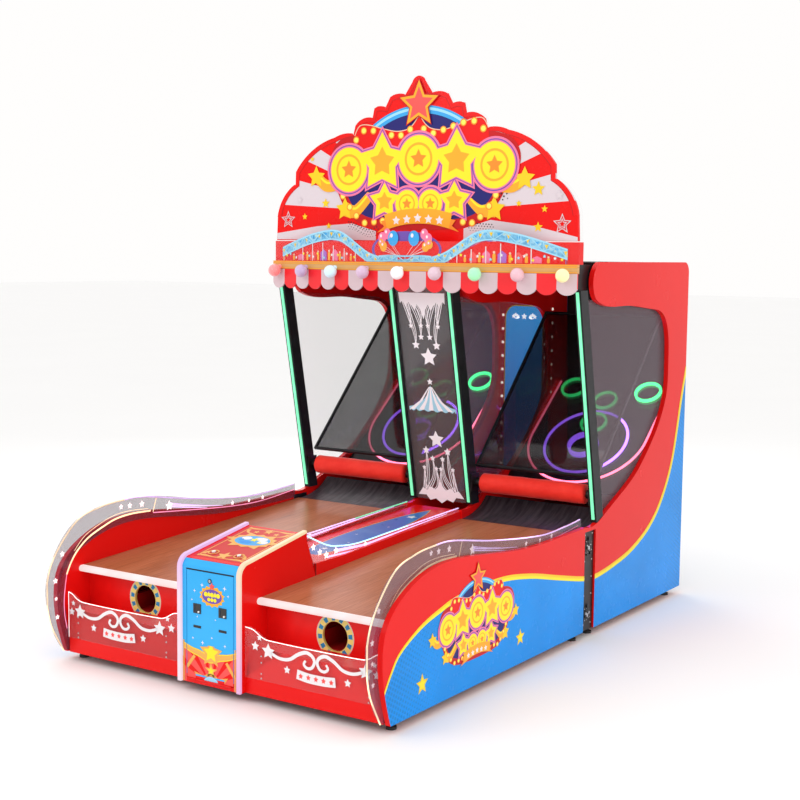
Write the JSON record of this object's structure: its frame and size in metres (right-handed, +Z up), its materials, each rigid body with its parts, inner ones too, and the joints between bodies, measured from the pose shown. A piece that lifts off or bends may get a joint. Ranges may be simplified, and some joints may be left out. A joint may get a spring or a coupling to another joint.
{
  "type": "alley roller redemption cabinet",
  "caption": "Carnival alley-roller cabinet: sloping wooden lanes with clear lit fins, a coin console between them, foam rollers, ring targets behind smoked panes and a scalloped marquee.",
  "frame": {"origin": "centre of the footprint on the floor", "axes": "+X to the player's right, +Y from the players towards the targets, +Z up"},
  "size_m": [1.81, 3.0015, 2.748],
  "materials": {
    "red_laminate": "gloss printed laminate on board",
    "blue_laminate": "gloss printed laminate on board",
    "black_board": "satin black paint on board",
    "frame_timber": "painted timber",
    "lane_wood": "varnished maple-type board, reddish brown",
    "ramp_grey": "dark grey laminate",
    "clear_acrylic": "clear acrylic sheet",
    "smoked_acrylic": "smoked acrylic sheet",
    "white_light": "lit diffuser, white to pink",
    "mint_light": "lit diffuser, mint green",
    "green_light": "lit diffuser, green",
    "purple_light": "lit diffuser, violet",
    "red_light": "lit tube, red to pink",
    "red_foam": "foam sleeve",
    "black_steel": "black powder coat",
    "bright_steel": "plated steel",
    "black_rubber": "rubber",
    "black_plastic": "moulded plastic",
    "gold_beam": "printed gold and timber strip",
    "awning_print": "white and red scallops",
    "globe_glass": "opal lamp",
    "marquee_print": "printed board",
    "header_print": "printed box",
    "target_board": "black laminate with printed paths",
    "button_plastic": "moulded button"
  },
  "bodies": {
    "cabinet": {"front_frame": "frame_timber", "rear_frame": "frame_timber", "levelling_feet": "black_rubber", "side_panel_left": "red_laminate", "side_panel_right": "red_laminate", "side_fins": "clear_acrylic", "joint_strips": "black_steel", "lane_beds": "lane_wood", "edge_lights": "white_light", "launch_ramps": "ramp_grey", "tray_boards": "red_laminate", "tray_walls": "red_laminate", "ball_guards": "clear_acrylic", "console_cheeks": "red_laminate", "console_surround": "blue_laminate", "console_top": "red_laminate", "lane_divider": "red_laminate", "divider_fins": "clear_acrylic", "ball_returns": "ramp_grey", "rear_board_right": "red_laminate", "rear_board_left": "red_laminate", "partition_boards": "red_laminate", "leaning_posts": "black_board", "post_lights": "mint_light", "side_windows": "clear_acrylic", "sloped_panes": "smoked_acrylic", "pane_frames": "black_plastic", "centre_display": "smoked_acrylic", "target_boards": "target_board", "score_ring_lights": "green_light", "bowl_ring_lights": "purple_light", "outline_lights": "red_light", "rear_panel": "blue_laminate", "roof_panel": "black_board", "roller_mounts": "black_steel", "electrics": "black_plastic", "header_frame": "black_board", "header_box": "header_print", "fascia_beam": "gold_beam", "awning": "awning_print", "globe_lights": "globe_glass", "marquee_board": "marquee_print", "header_acrylic": "clear_acrylic"},
    "coin_door": {"coin_door": "blue_laminate", "coin_fittings": "black_plastic"},
    "lock_cam": {"lock_cam": "bright_steel"},
    "reject_button_left": {"reject_button_left": "button_plastic"},
    "reject_button_right": {"reject_button_right": "button_plastic"},
    "start_button_left": {"start_button_left": "button_plastic"},
    "start_button_right": {"start_button_right": "button_plastic"},
    "foam_roller_left": {"foam_roller_left": "red_foam"},
    "foam_roller_right": {"foam_roller_right": "red_foam"},
    "service_door": {"service_door": "blue_laminate"},
    "power_switch": {"power_switch": "black_plastic"},
    "caster_fork_left": {"caster_fork_left": "bright_steel"},
    "caster_fork_right": {"caster_fork_right": "bright_steel"},
    "caster_wheel_front_left": {"caster_wheel_front_left": "black_rubber"},
    "caster_wheel_front_right": {"caster_wheel_front_right": "black_rubber"},
    "caster_wheel_rear_left": {"caster_wheel_rear_left": "black_rubber"},
    "caster_wheel_rear_right": {"caster_wheel_rear_right": "black_rubber"}
  },
  "joints": [
    {"name": "coin_door_hinge", "type": "hinge", "parent": "cabinet", "child": "coin_door", "pos_m": [0, -1.3983, 0.059], "axis": [1, 0, 0], "range_deg": [0, 75]},
    {"name": "lock_turn", "type": "hinge", "parent": "coin_door", "child": "lock_cam", "pos_m": [0, -1.3763, 0.491], "axis": [0, -1, 0], "range_deg": [0, 90]},
    {"name": "reject_push_left", "type": "slide", "parent": "coin_door", "child": "reject_button_left", "axis": [0, 1, 0], "range_m": [0, 0.004], "stiffness_N_per_m": 300, "springref_m": -0.003},
    {"name": "reject_push_right", "type": "slide", "parent": "coin_door", "child": "reject_button_right", "axis": [0, 1, 0], "range_m": [0, 0.004], "stiffness_N_per_m": 300, "springref_m": -0.003},
    {"name": "start_push_left", "type": "slide", "parent": "cabinet", "child": "start_button_left", "axis": [0, 0.1701, -0.9854], "range_m": [0, 0.003], "stiffness_N_per_m": 300, "springref_m": -0.003},
    {"name": "start_push_right", "type": "slide", "parent": "cabinet", "child": "start_button_right", "axis": [0, 0.1701, -0.9854], "range_m": [0, 0.003], "stiffness_N_per_m": 300, "springref_m": -0.003},
    {"name": "roller_spin_left", "type": "hinge", "parent": "cabinet", "child": "foam_roller_left", "pos_m": [-0.528, 0.4557, 0.69], "axis": [1, 0, 0], "continuous": true},
    {"name": "roller_spin_right", "type": "hinge", "parent": "cabinet", "child": "foam_roller_right", "pos_m": [0.528, 0.4557, 0.69], "axis": [1, 0, 0], "continuous": true},
    {"name": "service_door_hinge", "type": "hinge", "parent": "cabinet", "child": "service_door", "pos_m": [-0.3415, 1.4922, 0.58], "axis": [0, 0, 1], "range_deg": [0, 110]},
    {"name": "power_rocker", "type": "hinge", "parent": "cabinet", "child": "power_switch", "pos_m": [-0.615, 1.4817, 0.26], "axis": [1, 0, 0], "range_deg": [-9, 9]},
    {"name": "caster_swivel_left", "type": "hinge", "parent": "cabinet", "child": "caster_fork_left", "pos_m": [-0.735, -1.2593, 0.0275], "axis": [0, 0, 1], "continuous": true},
    {"name": "caster_spin_front_left", "type": "hinge", "parent": "caster_fork_left", "child": "caster_wheel_front_left", "pos_m": [-0.735, -1.2413, 0.0275], "axis": [1, 0, 0], "continuous": true},
    {"name": "caster_swivel_right", "type": "hinge", "parent": "cabinet", "child": "caster_fork_right", "pos_m": [0.735, -1.2593, 0.0275], "axis": [0, 0, 1], "continuous": true},
    {"name": "caster_spin_front_right", "type": "hinge", "parent": "caster_fork_right", "child": "caster_wheel_front_right", "pos_m": [0.735, -1.2413, 0.0275], "axis": [1, 0, 0], "continuous": true},
    {"name": "caster_spin_rear_left", "type": "hinge", "parent": "cabinet", "child": "caster_wheel_rear_left", "pos_m": [-0.735, 1.4487, 0.0275], "axis": [1, 0, 0], "continuous": true},
    {"name": "caster_spin_rear_right", "type": "hinge", "parent": "cabinet", "child": "caster_wheel_rear_right", "pos_m": [0.735, 1.4487, 0.0275], "axis": [1, 0, 0], "continuous": true}
  ]
}
